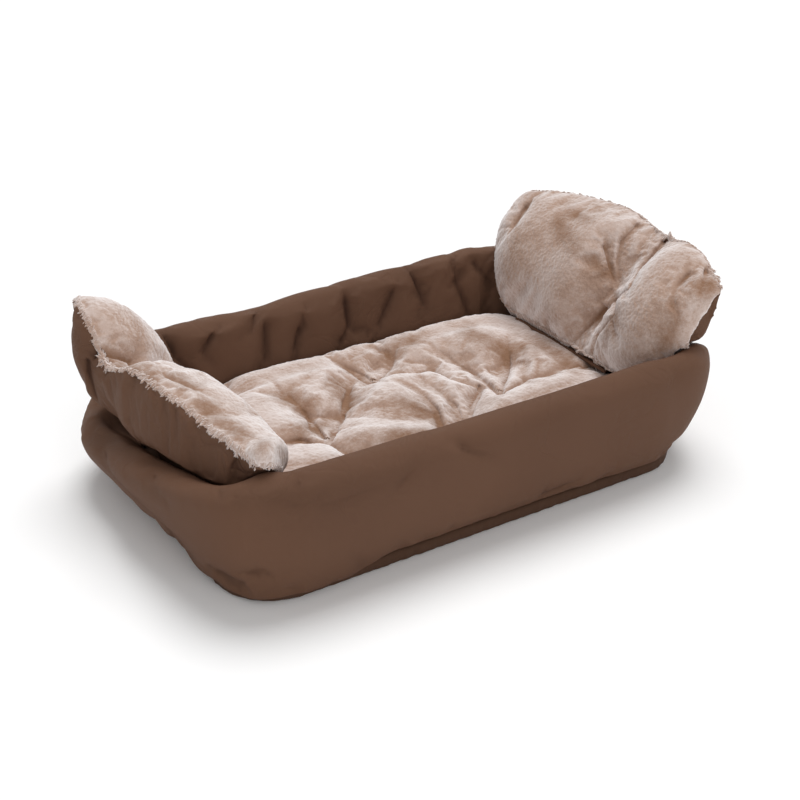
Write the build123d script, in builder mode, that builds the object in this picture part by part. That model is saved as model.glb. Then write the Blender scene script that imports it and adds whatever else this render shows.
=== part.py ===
from build123d import *
import os
from math import cos, radians, sin

# Dog sofa bed: a padded nylon tub, and a plush liner that drops into it.
# The liner is a tufted mattress with a creased pillow sewn along each of its ends.
# Origin: centre of the underside. +X is the end with the tall pillow, +Y the back, +Z up.
# All sizes are in millimetres.

# Tub, as seen from above
tub_length = 794
tub_depth = 512
tub_corner = 95

# Base: a flat padded slab under the walls
base_height = 20
base_fabric = 1.5
base_edge_round = 1

# Padded walls
wall_height = 205
wall_foot = 30
wall_setback = 2
wall_cover = 1.5
shoulder_width = 48
shoulder_overhang = 16
shoulder_drop = 20
outer_bulge = 11
inner_bulge = 10
end_lean = 45

# Crest height at each station of a wall, as a share of the wall height
front_crest_shares = [1, 0.993, 0.985, 0.986, 0.992, 0.998, 1]
back_crest_shares = [1, 0.994, 0.988, 0.99, 0.994, 0.996, 1]
# Stations from the front seam round the end to the back seam: crest height and lean
left_end_shares = [
    (1, 0), (0.98, 0.04), (0.92, 0.14), (0.84, 0.28), (0.77, 0.56), (0.7, 0.8),
    (0.63, 0.97), (0.57, 1), (0.54, 0.95), (0.6, 0.66), (0.82, 0.25), (1, 0)]
right_end_shares = [
    (1, 0), (0.99, 0.26), (0.91, 0.5), (0.76, 0.7), (0.66, 0.88), (0.62, 1),
    (0.62, 1), (0.66, 0.86), (0.74, 0.62), (0.87, 0.32), (0.97, 0.1), (1, 0)]
end_corner_shares = [0, 0.32, 0.64, 1]
end_straight_shares = [-0.62, -0.22, 0.22, 0.62]

# Mattress: it stands in from the tub's outline at its ends and its sides
mattress_end_inset = 42
mattress_side_inset = 45
mattress_corner = 90
mattress_height = 98
mattress_seam_height = 40
mattress_edge_draw = 90
mattress_foot_draw = 16
# Outline stations above the seam and below it: height, drawn-in edge, corner radius
mattress_top_shares = [(0, 0, 1), (0.45, 0.04, 0.97), (0.78, 0.18, 0.9), (0.94, 0.48, 0.78), (1, 1, 0.6)]
mattress_foot_shares = [(0, 1, 1), (0.45, 0.3, 1), (1, 0, 1)]

# Sewn tufts: four in a diamond, a little towards the tall pillow
tuft_shift = 32
tuft_long_spacing = 161
tuft_cross_spacing = 125
tuft_depth = 42
tuft_seat = 6
tuft_spread = 72
tuft_tie = 1.2
tuft_knot = 5
tuft_knot_height = 2
# The funnel round a tuft bulges towards its axis at these shares of spread and depth
funnel_bend_shares = (0.42, 0.72)
funnel_rise_share = 1.16
# Creases sewn in between neighbouring tufts
crease_radius = 100
crease_depth = 11

# Pillow covers and their hinge seams
plush_thickness = 8
backing_thickness = 1.2
hinge_length = 240
hinge_hem = 3
hinge_lift = 2
hinge_strip = 1.5
left_hinge_inset = 55
right_hinge_inset = 40
strip_bend_shares = (0.84, 0.28)
pillow_side_inset = 18
lobe_gap = 6
lobe_end_trim = 30

# Sides of a pillow's section: shares of its height and of its depth, from seam to seam
plush_side_shares = [(0, 0), (0.07, 0.38), (0.22, 0.76), (0.5, 1), (0.78, 0.76), (0.93, 0.38), (1, 0)]
backing_side_shares = [(0, 0), (0.1, 0.2), (0.27, 0.62), (0.54, 1), (0.8, 0.78), (0.94, 0.4), (1, 0)]

# Left pillow: it slumps over the end wall, and its front lobe lies lower than its back lobe
left_pillow_reach = 117
left_pillow_rise = 170
left_plush_depth = 58
left_backing_depth = 74
left_crease_share = 0.45
# Each station from front to back: place along the width, bottom seam out and up,
# top seam out and up, plush depth, backing depth
left_pillow_shares = [
    (-1, 0.24, 0.57, 0.44, 0.62, 0.14, 0.06),
    (-0.91, 0.1, 0.46, 0.47, 0.6, 0.42, 0.16),
    (-0.82, 0.02, 0.25, 0.5, 0.6, 0.68, 0.32),
    (-0.73, 0, 0.11, 0.54, 0.6, 0.82, 0.48),
    (-0.62, 0, 0.04, 0.58, 0.6, 0.9, 0.58),
    (-0.36, 0, 0.033, 0.7, 0.66, 1, 0.72),
    (-0.02, 0, 0.033, 0.86, 0.73, 0.98, 0.82),
    (0.28, 0, 0.033, 0.98, 0.7, 0.72, 0.84),
    (0.45, 0, 0.033, 1.04, 0.64, 0.3, 0.72),
    (0.6, 0.02, 0.04, 1.06, 0.8, 0.72, 0.92),
    (0.72, 0.1, 0.1, 1.08, 0.93, 0.86, 1),
    (0.82, 0.2, 0.26, 1.08, 0.98, 0.78, 0.84),
    (0.92, 0.38, 0.52, 1.05, 0.99, 0.5, 0.46),
    (1, 0.62, 0.76, 0.98, 0.97, 0.16, 0.1)]

# Right pillow: taller, creased in the middle, leaning back over the end wall
right_pillow_reach = 187
right_pillow_rise = 190
right_plush_depth = 62
right_backing_depth = 44
right_crease_share = -0.22
right_pillow_shares = [
    (-1, 0.33, 0.48, 0.64, 0.79, 0.16, 0.24),
    (-0.93, 0.23, 0.36, 0.69, 0.85, 0.52, 0.84),
    (-0.83, 0.1, 0.19, 0.76, 0.88, 0.8, 0.88),
    (-0.72, 0.022, 0.08, 0.82, 0.9, 0.95, 0.86),
    (-0.6, 0, 0.03, 0.87, 0.93, 1, 0.92),
    (-0.44, 0, 0.024, 0.9, 0.95, 0.9, 1),
    (-0.22, 0, 0.024, 0.88, 0.96, 0.22, 0.7),
    (0, 0, 0.024, 0.96, 0.96, 0.84, 0.95),
    (0.3, 0, 0.024, 0.97, 0.98, 1, 1),
    (0.56, 0, 0.028, 0.88, 0.98, 0.98, 0.95),
    (0.7, 0.01, 0.08, 0.8, 0.98, 0.88, 0.88),
    (0.82, 0.05, 0.22, 0.72, 0.97, 0.7, 0.72),
    (0.92, 0.12, 0.46, 0.63, 0.96, 0.42, 0.42),
    (1, 0.22, 0.68, 0.54, 0.93, 0.14, 0.1)]

# Clearances and the overrun of cuts
body_gap = 0.3
fill_gap = 0.5
seam_gap = 0.9
sliver = 0.1
overrun = 5

half_length = tub_length / 2
half_depth = tub_depth / 2
end_straight = half_depth - tub_corner
panel_reach = half_length - tub_corner
mattress_length = tub_length - 2 * mattress_end_inset
mattress_depth = tub_depth - 2 * mattress_side_inset
mattress_floor = base_height + body_gap
mattress_seam = mattress_floor + mattress_seam_height
mattress_top = mattress_floor + mattress_height
tuft_height = mattress_top - tuft_depth
hinge_height = mattress_top + hinge_lift
left_hinge_reach = mattress_length / 2 - left_hinge_inset
right_hinge_reach = mattress_length / 2 - right_hinge_inset
pillow_width = tub_depth - 2 * pillow_side_inset


def save(piece, label):
    """Name a finished piece and write it."""
    piece.part.label = label
    export_step(piece.part, f"parts/{label}.step")


def wall_section(plane, height, lean, inset):
    """Section across a padded wall: flat foot, bulged sides and a rounded crest."""
    outer_foot = (-wall_setback - inset, base_height + inset)
    inner_foot = (inset - wall_setback - wall_foot, base_height + inset)
    shoulder = height - shoulder_drop
    outer_top = (shoulder_overhang - wall_setback + lean - inset, shoulder)
    inner_top = (shoulder_overhang - wall_setback + lean - shoulder_width + inset, shoulder)
    middle = (base_height + shoulder) / 2
    outer_middle = ((outer_foot[0] + outer_top[0]) / 2 + outer_bulge, middle)
    inner_middle = ((inner_foot[0] + inner_top[0]) / 2 - inner_bulge, middle)
    crest = ((outer_top[0] + inner_top[0]) / 2, height - inset)
    with BuildSketch(plane) as section:
        with BuildLine():
            Line(inner_foot, outer_foot)
            ThreePointArc(outer_foot, outer_middle, outer_top)
            ThreePointArc(outer_top, crest, inner_top)
            ThreePointArc(inner_top, inner_middle, inner_foot)
        make_face()
    return section.sketch


def long_wall_sections(side, crest_shares, inset):
    """Sections along the front wall (side -1) or the back wall (side 1)."""
    reach = panel_reach - inset
    step = 2 * reach / (len(crest_shares) - 1)
    sections = []
    for number, share in enumerate(crest_shares):
        place = (number * step - reach, side * half_depth, 0)
        plane = Plane(origin=place, x_dir=(0, side, 0), z_dir=(side, 0, 0))
        sections.append(wall_section(plane, wall_height * share, 0, inset))
    return sections


def end_wall_planes(side, inset):
    """Planes across an end wall, from its front seam round both corners to its back seam."""
    quarter = 90
    corner_spots = []
    for share in end_corner_shares[1:]:
        turn = radians(quarter * share)
        across = side * (panel_reach + tub_corner * sin(turn))
        corner_spots.append((across, end_straight + tub_corner * cos(turn), quarter * share))
    spots = [(side * (panel_reach + inset), -half_depth, 0)]
    for across, along, angle in corner_spots:
        spots.append((across, -along, angle))
    for share in end_straight_shares:
        spots.append((side * half_length, end_straight * share, quarter))
    for across, along, angle in reversed(corner_spots):
        spots.append((across, along, 2 * quarter - angle))
    spots.append((side * (panel_reach + inset), half_depth, 2 * quarter))
    planes = []
    for x, y, angle in spots:
        outward = Vector(side * sin(radians(angle)), -cos(radians(angle)), 0)
        planes.append(Plane(origin=(x, y, 0), x_dir=outward, z_dir=outward.cross(Vector(0, 0, 1))))
    return planes


def end_wall_sections(side, shares, inset):
    """Sections round an end wall, which is lower in its middle and leans outwards there."""
    sections = []
    for plane, (crest, lean) in zip(end_wall_planes(side, inset), shares):
        sections.append(wall_section(plane, wall_height * crest, end_lean * lean, inset))
    return sections


def mattress_outline(level, edge, corner):
    """Rounded outline of the mattress at one height, drawn in by edge all round."""
    with BuildSketch(Plane.XY.offset(level)) as section:
        RectangleRounded(mattress_length - 2 * edge, mattress_depth - 2 * edge, corner)
    return section.sketch


def top_sections(inset):
    """Outlines from the side seam up to the crown."""
    rise = mattress_top - inset - mattress_seam
    return [
        mattress_outline(
            mattress_seam + rise * up, mattress_edge_draw * drawn + inset, mattress_corner * corner - inset)
        for up, drawn, corner in mattress_top_shares]


def foot_sections(inset):
    """Outlines from the underside up to the side seam."""
    drop = mattress_seam_height - inset
    sections = []
    for up, drawn, corner in mattress_foot_shares:
        edge = mattress_foot_draw * drawn + inset
        level = mattress_seam - drop * (1 - up)
        sections.append(mattress_outline(level, edge, mattress_corner * corner - inset))
    return sections


tuft_places = [
    (tuft_shift - tuft_long_spacing, 0),
    (tuft_shift + tuft_long_spacing, 0),
    (tuft_shift, -tuft_cross_spacing),
    (tuft_shift, tuft_cross_spacing)]


def creases(inset):
    """Solid of the creases between neighbouring tufts, lying over the crown."""
    radius = crease_radius + inset
    level = mattress_top + crease_radius - crease_depth
    with BuildPart() as tool:
        for end_place in tuft_places[:2]:
            for cross_place in tuft_places[2:]:
                start = Vector(*end_place, level)
                run = Vector(*cross_place, level) - start
                with BuildSketch(Plane(origin=start, z_dir=run)):
                    Circle(radius)
                extrude(amount=run.length)
    return tool.part


def funnel(inset):
    """Solid of the hollow round one tuft, standing on its own axis."""
    floor = tuft_height - inset
    bend = (
        tuft_spread * funnel_bend_shares[0] + inset,
        tuft_height + tuft_depth * funnel_bend_shares[1] - inset)
    rim = (tuft_spread + inset, tuft_height + tuft_depth * funnel_rise_share - inset)
    with BuildPart() as tool:
        with BuildSketch(Plane.XZ):
            with BuildLine():
                Line((0, floor), (tuft_seat + inset, floor))
                ThreePointArc((tuft_seat + inset, floor), bend, rim)
                Polyline(rim, (rim[0], rim[1] + overrun), (0, rim[1] + overrun), (0, floor))
            make_face()
        revolve(axis=Axis.Z)
    return tool.part


def pillow_plane(side, hinge_reach, station, sizes):
    """Plane across a pillow, from its bottom seam up to its top seam, and the height between them."""
    width_share, foot_out, foot_up, top_out, top_up = station[:5]
    reach, rise = sizes
    place = pillow_width / 2 * width_share
    foot = Vector(side * (hinge_reach + reach * foot_out), place, hinge_height + rise * foot_up)
    top = Vector(side * (hinge_reach + reach * top_out), place, hinge_height + rise * top_up)
    along = (top - foot).normalized()
    plane = Plane(origin=foot, x_dir=(-side * along.Z, 0, side * along.X), z_dir=(0, side, 0))
    return plane, (top - foot).length


def side_points(side_shares, height, depth, seam, offset):
    """Points of one side of a pillow section, from its bottom seam to its top seam."""
    length = height - 2 * seam
    return [(offset + depth * deep, seam + length * up) for up, deep in side_shares]


def draw_side(points):
    """Three arcs through a pillow side's points."""
    for first in range(0, len(points) - 1, 2):
        ThreePointArc(*points[first:first + 3])


def cover_sections(side, hinge_reach, shares, sizes, depth, column, thickness, facing):
    """Crescent sections of a pillow's plush (facing 1) or of its backing (facing -1)."""
    side_shares = plush_side_shares if facing > 0 else backing_side_shares
    sections = []
    for station in shares:
        plane, height = pillow_plane(side, hinge_reach, station, sizes)
        full = depth * station[column]
        inner = max(full - thickness, sliver)
        outside = side_points(side_shares, height, facing * full, 0, facing * seam_gap / 2)
        inside = side_points(side_shares, height, facing * inner, thickness, facing * seam_gap / 2)
        with BuildSketch(plane) as section:
            with BuildLine():
                draw_side(outside)
                Line(outside[-1], inside[-1])
                draw_side(inside[::-1])
                Line(inside[0], outside[0])
            make_face()
        sections.append(section.sketch)
    return sections


def fill_sections(side, hinge_reach, shares, sizes, plush_depth, backing_depth):
    """Sections of a pillow's wadding, inside both covers."""
    sections = []
    seam = plush_thickness + fill_gap
    for station in shares:
        plane, height = pillow_plane(side, hinge_reach, station, sizes)
        plush = max(plush_depth * station[5] - plush_thickness - fill_gap, sliver)
        backing = max(backing_depth * station[6] - backing_thickness - fill_gap, sliver)
        inward = side_points(plush_side_shares, height, plush, seam, 0)
        outward = side_points(backing_side_shares, height, -backing, seam, 0)
        with BuildSketch(plane) as section:
            with BuildLine():
                draw_side(inward)
                draw_side(outward[::-1])
            make_face()
        sections.append(section.sketch)
    return sections


os.makedirs("parts", exist_ok=True)

# Base: underside tray, wadding in it, and the floor lining as its lid
with BuildPart() as base_underside:
    with BuildSketch():
        RectangleRounded(tub_length, tub_depth, tub_corner)
    extrude(amount=base_height - base_fabric)
    fillet(base_underside.faces().sort_by(Axis.Z)[0].edges(), base_edge_round)
    with BuildSketch(Plane.XY.offset(base_fabric)):
        RectangleRounded(
            tub_length - 2 * base_fabric, tub_depth - 2 * base_fabric, tub_corner - base_fabric)
    extrude(amount=base_height, mode=Mode.SUBTRACT)
save(base_underside, "base_underside")

with BuildPart() as base_wadding:
    with BuildSketch(Plane.XY.offset(base_fabric)):
        RectangleRounded(
            tub_length - 2 * base_fabric - 2 * fill_gap,
            tub_depth - 2 * base_fabric - 2 * fill_gap,
            tub_corner - base_fabric - fill_gap)
    extrude(amount=base_height - 2 * base_fabric)
save(base_wadding, "base_wadding")

with BuildPart() as floor_lining:
    with BuildSketch(Plane.XY.offset(base_height - base_fabric)):
        RectangleRounded(tub_length, tub_depth, tub_corner)
    extrude(amount=base_fabric)
save(floor_lining, "floor_lining")

# Long walls
for side, wall_name, crest_shares in ((-1, "front", front_crest_shares), (1, "back", back_crest_shares)):
    with BuildPart() as long_cover:
        loft(long_wall_sections(side, crest_shares, 0))
        loft(long_wall_sections(side, crest_shares, wall_cover), mode=Mode.SUBTRACT)
    save(long_cover, f"{wall_name}_wall_cover")
    with BuildPart() as long_fill:
        loft(long_wall_sections(side, crest_shares, wall_cover + fill_gap))
    save(long_fill, f"{wall_name}_wall_fill")

# End walls, which go round the corners
for side, wall_name, end_shares in ((-1, "left", left_end_shares), (1, "right", right_end_shares)):
    with BuildPart() as end_cover:
        loft(end_wall_sections(side, end_shares, 0))
        loft(end_wall_sections(side, end_shares, wall_cover), mode=Mode.SUBTRACT)
    save(end_cover, f"{wall_name}_end_wall_cover")
    with BuildPart() as end_fill:
        loft(end_wall_sections(side, end_shares, wall_cover + fill_gap))
    save(end_fill, f"{wall_name}_end_wall_fill")

# Mattress: plush above the side seam, backing below it, wadding inside
hole_gap = tuft_tie + body_gap

with BuildPart() as plush_inside:
    loft(top_sections(plush_thickness))
    extrude(top_sections(plush_thickness)[0], amount=-overrun)
    add(creases(plush_thickness), mode=Mode.SUBTRACT)
    with Locations(*tuft_places):
        add(funnel(plush_thickness), mode=Mode.SUBTRACT)

with BuildPart() as mattress_plush:
    loft(top_sections(0))
    add(creases(0), mode=Mode.SUBTRACT)
    with Locations(*tuft_places):
        add(funnel(0), mode=Mode.SUBTRACT)
    add(plush_inside.part, mode=Mode.SUBTRACT)
    with BuildSketch(Plane.XY.offset(tuft_height)):
        with Locations(*tuft_places):
            Circle(hole_gap)
    extrude(amount=-tuft_height, mode=Mode.SUBTRACT)
save(mattress_plush, "mattress_plush")

with BuildPart() as mattress_backing:
    loft(foot_sections(0))
    loft(foot_sections(backing_thickness), mode=Mode.SUBTRACT)
    extrude(foot_sections(backing_thickness)[-1], amount=overrun, mode=Mode.SUBTRACT)
save(mattress_backing, "mattress_backing")

fill_inset = plush_thickness + fill_gap
with BuildPart() as mattress_fill:
    loft(top_sections(fill_inset))
    loft(foot_sections(fill_inset))
    add(creases(fill_inset), mode=Mode.SUBTRACT)
    with Locations(*tuft_places):
        add(funnel(fill_inset), mode=Mode.SUBTRACT)
    with BuildSketch(Plane.XY):
        with Locations(*tuft_places):
            Circle(hole_gap)
    extrude(amount=mattress_top, mode=Mode.SUBTRACT)
save(mattress_fill, "mattress_fill")

with BuildPart() as tuft_ties:
    with BuildSketch(Plane.XY.offset(mattress_floor + backing_thickness)):
        with Locations(*tuft_places):
            Circle(tuft_tie)
    extrude(amount=tuft_height - mattress_floor - backing_thickness)
    with BuildSketch(Plane.XY.offset(tuft_height)):
        with Locations(*tuft_places):
            Circle(tuft_knot)
    extrude(amount=tuft_knot_height)
save(tuft_ties, "tuft_ties")

# Hinge strips: a hem on the hinge axis, and the strip that sews it to the mattress end
for side, end_name, hinge_reach in ((-1, "left", left_hinge_reach), (1, "right", right_hinge_reach)):
    end_reach = mattress_length / 2
    foot_inner = (side * (end_reach + body_gap), mattress_seam)
    foot_outer = (side * (end_reach + body_gap + hinge_strip), mattress_seam)
    run = end_reach - hinge_reach
    climb = hinge_height - mattress_seam
    bend_inner = (
        side * (hinge_reach + run * strip_bend_shares[0]),
        hinge_height - climb * strip_bend_shares[1])
    bend_outer = (bend_inner[0] + side * hinge_strip, bend_inner[1] + hinge_strip)
    hem_low = (side * hinge_reach, hinge_height)
    hem_high = (side * hinge_reach, hinge_height + hinge_strip)
    with BuildPart() as hinge_piece:
        with BuildSketch(Plane.XZ):
            with BuildLine():
                ThreePointArc(hem_high, bend_outer, foot_outer)
                Line(foot_outer, foot_inner)
                ThreePointArc(foot_inner, bend_inner, hem_low)
                Line(hem_low, hem_high)
            make_face()
            with Locations((side * hinge_reach, hinge_height)):
                Circle(hinge_hem)
        extrude(amount=hinge_length / 2, both=True)
    save(hinge_piece, f"{end_name}_hinge_strip")

# Pillows: plush inside, nylon backing outside, a wadding in each lobe
pillow_sizes = {
    "left": (
        -1, left_hinge_reach, left_pillow_shares, (left_pillow_reach, left_pillow_rise),
        left_plush_depth, left_backing_depth, left_crease_share),
    "right": (
        1, right_hinge_reach, right_pillow_shares, (right_pillow_reach, right_pillow_rise),
        right_plush_depth, right_backing_depth, right_crease_share)}
for end_name, (side, hinge_reach, shares, sizes, plush_depth, backing_depth, crease) in pillow_sizes.items():
    with BuildPart() as pillow_plush:
        loft(cover_sections(side, hinge_reach, shares, sizes, plush_depth, 5, plush_thickness, 1))
    save(pillow_plush, f"{end_name}_pillow_plush")
    with BuildPart() as pillow_backing:
        loft(cover_sections(side, hinge_reach, shares, sizes, backing_depth, 6, backing_thickness, -1))
    save(pillow_backing, f"{end_name}_pillow_backing")
    half_width = pillow_width / 2
    crease_place = half_width * crease
    spans = {
        "front": (lobe_end_trim - half_width, crease_place - lobe_gap / 2),
        "back": (crease_place + lobe_gap / 2, half_width - lobe_end_trim)}
    for lobe_name, (start, stop) in spans.items():
        with BuildPart() as lobe_fill:
            loft(fill_sections(side, hinge_reach, shares, sizes, plush_depth, backing_depth))
            split(bisect_by=Plane.XZ.offset(-start), keep=Keep.BOTTOM)
            split(bisect_by=Plane.XZ.offset(-stop), keep=Keep.TOP)
        save(lobe_fill, f"{end_name}_pillow_{lobe_name}_fill")
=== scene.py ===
import random
from math import cos, pi, radians, sin

import bmesh
import bpy
import numpy as np
from bpy.props import FloatProperty, FloatVectorProperty, IntProperty, PointerProperty
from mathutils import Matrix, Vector, noise
from mathutils.bvhtree import BVHTree
from mathutils.kdtree import KDTree


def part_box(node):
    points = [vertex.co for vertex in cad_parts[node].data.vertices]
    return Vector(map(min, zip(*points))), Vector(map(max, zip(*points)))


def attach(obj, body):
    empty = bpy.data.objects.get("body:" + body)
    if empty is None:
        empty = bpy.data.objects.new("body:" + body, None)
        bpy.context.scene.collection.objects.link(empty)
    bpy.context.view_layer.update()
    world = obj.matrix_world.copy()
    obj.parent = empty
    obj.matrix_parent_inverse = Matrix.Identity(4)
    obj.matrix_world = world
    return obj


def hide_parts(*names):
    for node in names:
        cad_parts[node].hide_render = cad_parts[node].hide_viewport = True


bl_info = {
    "name": "Dog Sofa Bed",
    "version": (1, 0, 0),
    "blender": (4, 5, 0),
    "location": "View3D > Sidebar > Dog Bed",
    "description": "Builds the padded tub, tufted mattress and plush pillows of a dog sofa bed",
    "category": "Object",
}

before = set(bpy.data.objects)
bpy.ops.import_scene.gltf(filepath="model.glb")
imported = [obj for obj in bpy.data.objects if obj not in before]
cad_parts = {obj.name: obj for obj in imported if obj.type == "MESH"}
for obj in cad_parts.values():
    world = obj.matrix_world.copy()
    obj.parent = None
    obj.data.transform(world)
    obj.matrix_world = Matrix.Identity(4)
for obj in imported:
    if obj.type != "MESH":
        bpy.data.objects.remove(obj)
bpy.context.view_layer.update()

# The photograph is square. Pixels below are in it, and rays from the camera put them on the pieces.
PHOTO_SIDE = 800
SENSOR_WIDTH = 36.0

# Painted sheen: plush slopes that face this way, to the front left and up towards the camera's place,
# keep their own colour, and slopes turned across or away from it are painted paler.
PAINTED_SHEEN_AXIS = (-0.451, -0.734, 0.508)

# Clumps of pile along the seams: how deep they count as lying, their width and how many start at
# each seam edge, at plain seams and at the foot and the creases
PILE_HOLLOW = 0.44
PILE_WIDTH = 0.0036
PILE_COUNT = 11
DENSE_PILE_COUNT = 20
# Rings of a clump: how far along it each one lies, and how wide it is there
PILE_RINGS = ((-0.3, 0.5), (0.2, 1.0), (0.7, 0.8))
# How long the pile is and how much it leans outwards: at the foot, at creases and elsewhere
FOOT_PILE = (2.7, 0.7)
CREASE_PILE = (1.8, 0.12)
PLAIN_PILE = (1.0, 0.12)
# Where it roots: how far into the plush from the seam, and how deep
PILE_INSET = (-0.0005, 0.006)
PILE_ROOT = 0.0009
# Pile counts as creased up to this far from a crease
CREASE_REACH = 0.014
# How much the clumps differ: in heading, length, half their width and bend
PILE_SPREAD = 0.28
PILE_LENGTHS = (0.5, 1.1)
PILE_HALVES = (0.35, 0.6)
PILE_BEND = 0.2
# How fine the strokes in the plush are
STROKE_SCALE = 75.0

# The stitches of each tuft
STITCH_HALF = 0.0045
STITCH_RISE = 0.0012
THREAD_RADIUS = 0.0007

# Frames for which cloth swells
CLOTH_FRAMES = 14

# The base edge from below: how far it stands back, and its height as a share of the base's
BASE_PROFILE = [
    (0.02, 0.06), (0.006, 0.0), (0.0, 0.16), (-0.001, 0.5), (0.0, 0.86), (0.003, 1.0), (0.05, 1.0)]
# The base's corner radius as a share of its depth, and the step between points of its outline
BASE_CORNER_SHARE = 0.186
BASE_STEP = 0.003
# The puckers round the base edge: how far apart, how deep, and how far back the edge still has them
PUCKER_PITCH = 0.012
PUCKER_DEPTH = 0.0024
PUCKER_REACH = 0.02

# The end walls lie beyond this, to both sides of the middle
END_WALL_START = 0.28
# How far from a pillow the wall below it is looked for, and the gap that stays between them
WALL_REACH = 0.08
WALL_GAP = 0.003
# Up to this height above the base the walls are sewn down and don't swell
SEWN_HEIGHT = 0.008
# The back wall's far end rises more and more from the first to the second of these places in x, y
# and z, and the right end leans out from the first to the second of the next ones in x and z
RISE_ACROSS = (-0.12, 0.26)
RISE_BACK = (0.1, 0.2)
RISE_UP = (0.05, 0.17)
LEAN_ACROSS = (0.3, 0.42)
LEAN_UP = (0.02, 0.12)
# The outer fabric begins to hang at the first of these places and hangs fully at the second, counted
# from the middle to the left and to the front
HANG_LEFT = (0.16, 0.24)
HANG_FRONT = (-0.2, 0.0)
# How high above the base it hangs, its corner radius, how far inside the base's edge it starts, over
# which width it begins, and the gap that it leaves to the floor
HANG_HEIGHT = 0.045
HANG_CORNER = 0.095
HANG_INSET = 0.012
HANG_CORNER_INSET = 0.01
HANG_FADE = 0.008
HANG_GAP = 0.003
# Folds inside the front wall: how many, how far they tilt, how far they reach down, and their tops
FRONT_FOLD_COUNT = 11
FRONT_FOLD_SEED = 5
FRONT_FOLD_TILT = 0.02
FRONT_FOLD_DROP = (0.05, 0.11)
FRONT_FOLD_TOP = (0.13, 0.17)

# The width of a CAD tie. The CAD bowl round it is evened out up to the first of the next distances,
# and is left as it is beyond the second.
TIE_WIDTH = 0.01
TUFT_BOWL = (0.034, 0.062)
# Mesh size of the hinge strips, and the pitch and height of their waves
STRIP_MESH = 0.0012
STRIP_WAVE_PITCH = 0.02
STRIP_WAVE = 0.0006

# The four tufts of the mattress, as pixels of the photograph
TUFTS = [[(373, 379), (499, 390), (327, 438), (456, 443)]]
# Folds of the nylon on the back wall's inner face, as pixels of the photograph
BACK_WALL_FOLDS = [
    [(161, 330), (176, 358), (193, 375)], [(212, 335), (204, 351)], [(256, 308), (253, 328)],
    [(266, 328), (266, 360)], [(305, 288), (315, 316)], [(300, 330), (295, 349)],
    [(342, 280), (347, 306), (350, 328), (341, 343)], [(368, 265), (368, 302)], [(393, 297), (380, 325)],
    [(409, 274), (424, 308)], [(462, 250), (454, 265), (458, 288), (461, 297), (468, 314)],
    [(474, 244), (476, 270), (490, 290)], [(494, 245), (488, 264)]]
# Creases on the front wall's outer face
FRONT_WALL_FOLDS = [
    [(235, 499), (280, 500), (333, 502), (394, 477), (421, 458)], [(400, 481), (421, 458)],
    [(462, 445), (498, 456)], [(515, 513), (544, 496), (579, 478), (582, 466)], [(216, 484), (220, 501)],
    [(299, 480), (299, 494)], [(316, 494), (313, 503)], [(371, 566), (380, 519)],
    [(311, 596), (330, 586), (348, 574)]]
# The turned edge where the left end wall's outer face meets its underside
LEFT_WALL_FOLDS = [
    [(101, 446), (111, 466), (139, 506), (166, 540), (216, 573)], [(150, 470), (170, 500)]]
# Valleys that run out from the mattress tufts
MATTRESS_VALLEYS = [
    [(372, 377), (361, 371), (337, 359), (312, 355)], [(378, 373), (392, 359)],
    [(372, 377), (414, 370), (431, 367), (455, 375), (484, 384), (501, 389)],
    [(501, 389), (475, 369), (443, 351)], [(502, 388), (506, 361), (508, 349)],
    [(503, 389), (524, 375), (555, 370)], [(480, 384), (473, 394), (466, 414), (463, 437)],
    [(457, 442), (447, 431), (435, 406), (422, 390)], [(461, 440), (463, 422), (455, 402), (431, 382)],
    [(328, 436), (339, 414), (347, 402), (349, 382), (361, 371)], [(327, 437), (300, 436), (280, 439)],
    [(325, 431), (312, 416), (289, 393)], [(331, 439), (347, 447), (367, 450), (398, 457)],
    [(453, 443), (422, 453), (398, 457)], [(224, 383), (225, 397)]]
# Creases of the left pillow: the valley between its lobes, and dimples in the plush
LEFT_PILLOW_VALLEYS = [
    [(92, 356), (96, 351), (110, 353), (131, 360), (166, 374), (196, 388)], [(103, 358), (115, 360)],
    [(85, 363), (87, 373), (97, 396), (118, 426)], [(85, 361), (73, 370)],
    [(232, 459), (244, 471), (257, 484)], [(232, 459), (231, 471), (244, 473)]]
# Creases of the right pillow
RIGHT_PILLOW_VALLEYS = [
    [(664, 238), (639, 268), (626, 286), (614, 299), (611, 313), (596, 334), (591, 354)],
    [(639, 223), (623, 240), (618, 260), (618, 280)], [(606, 246), (611, 270), (614, 280)],
    [(603, 309), (573, 342)], [(525, 205), (513, 225)], [(546, 321), (545, 333)],
    [(689, 271), (676, 286)], [(709, 268), (702, 283)]]
# Places where the pile is brushed the dark way
MATTRESS_PATCHES = [
    [(395, 440), (430, 434), (452, 436)], [(405, 405), (432, 412)], [(470, 338), (512, 350), (540, 352)],
    [(556, 358), (580, 366)], [(338, 385), (348, 400)], [(305, 428), (318, 425)],
    [(390, 352), (410, 345)], [(285, 395), (300, 400)]]
LEFT_PILLOW_PATCHES = [
    [(118, 365), (150, 380)], [(205, 405), (240, 432)], [(262, 445), (285, 462)],
    [(180, 375), (190, 382)]]
RIGHT_PILLOW_PATCHES = [
    [(668, 308), (672, 322), (664, 342)], [(560, 225), (575, 250)], [(595, 262), (604, 272)],
    [(575, 215), (588, 222)], [(700, 290), (712, 284)], [(614, 318), (606, 330)]]


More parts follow.
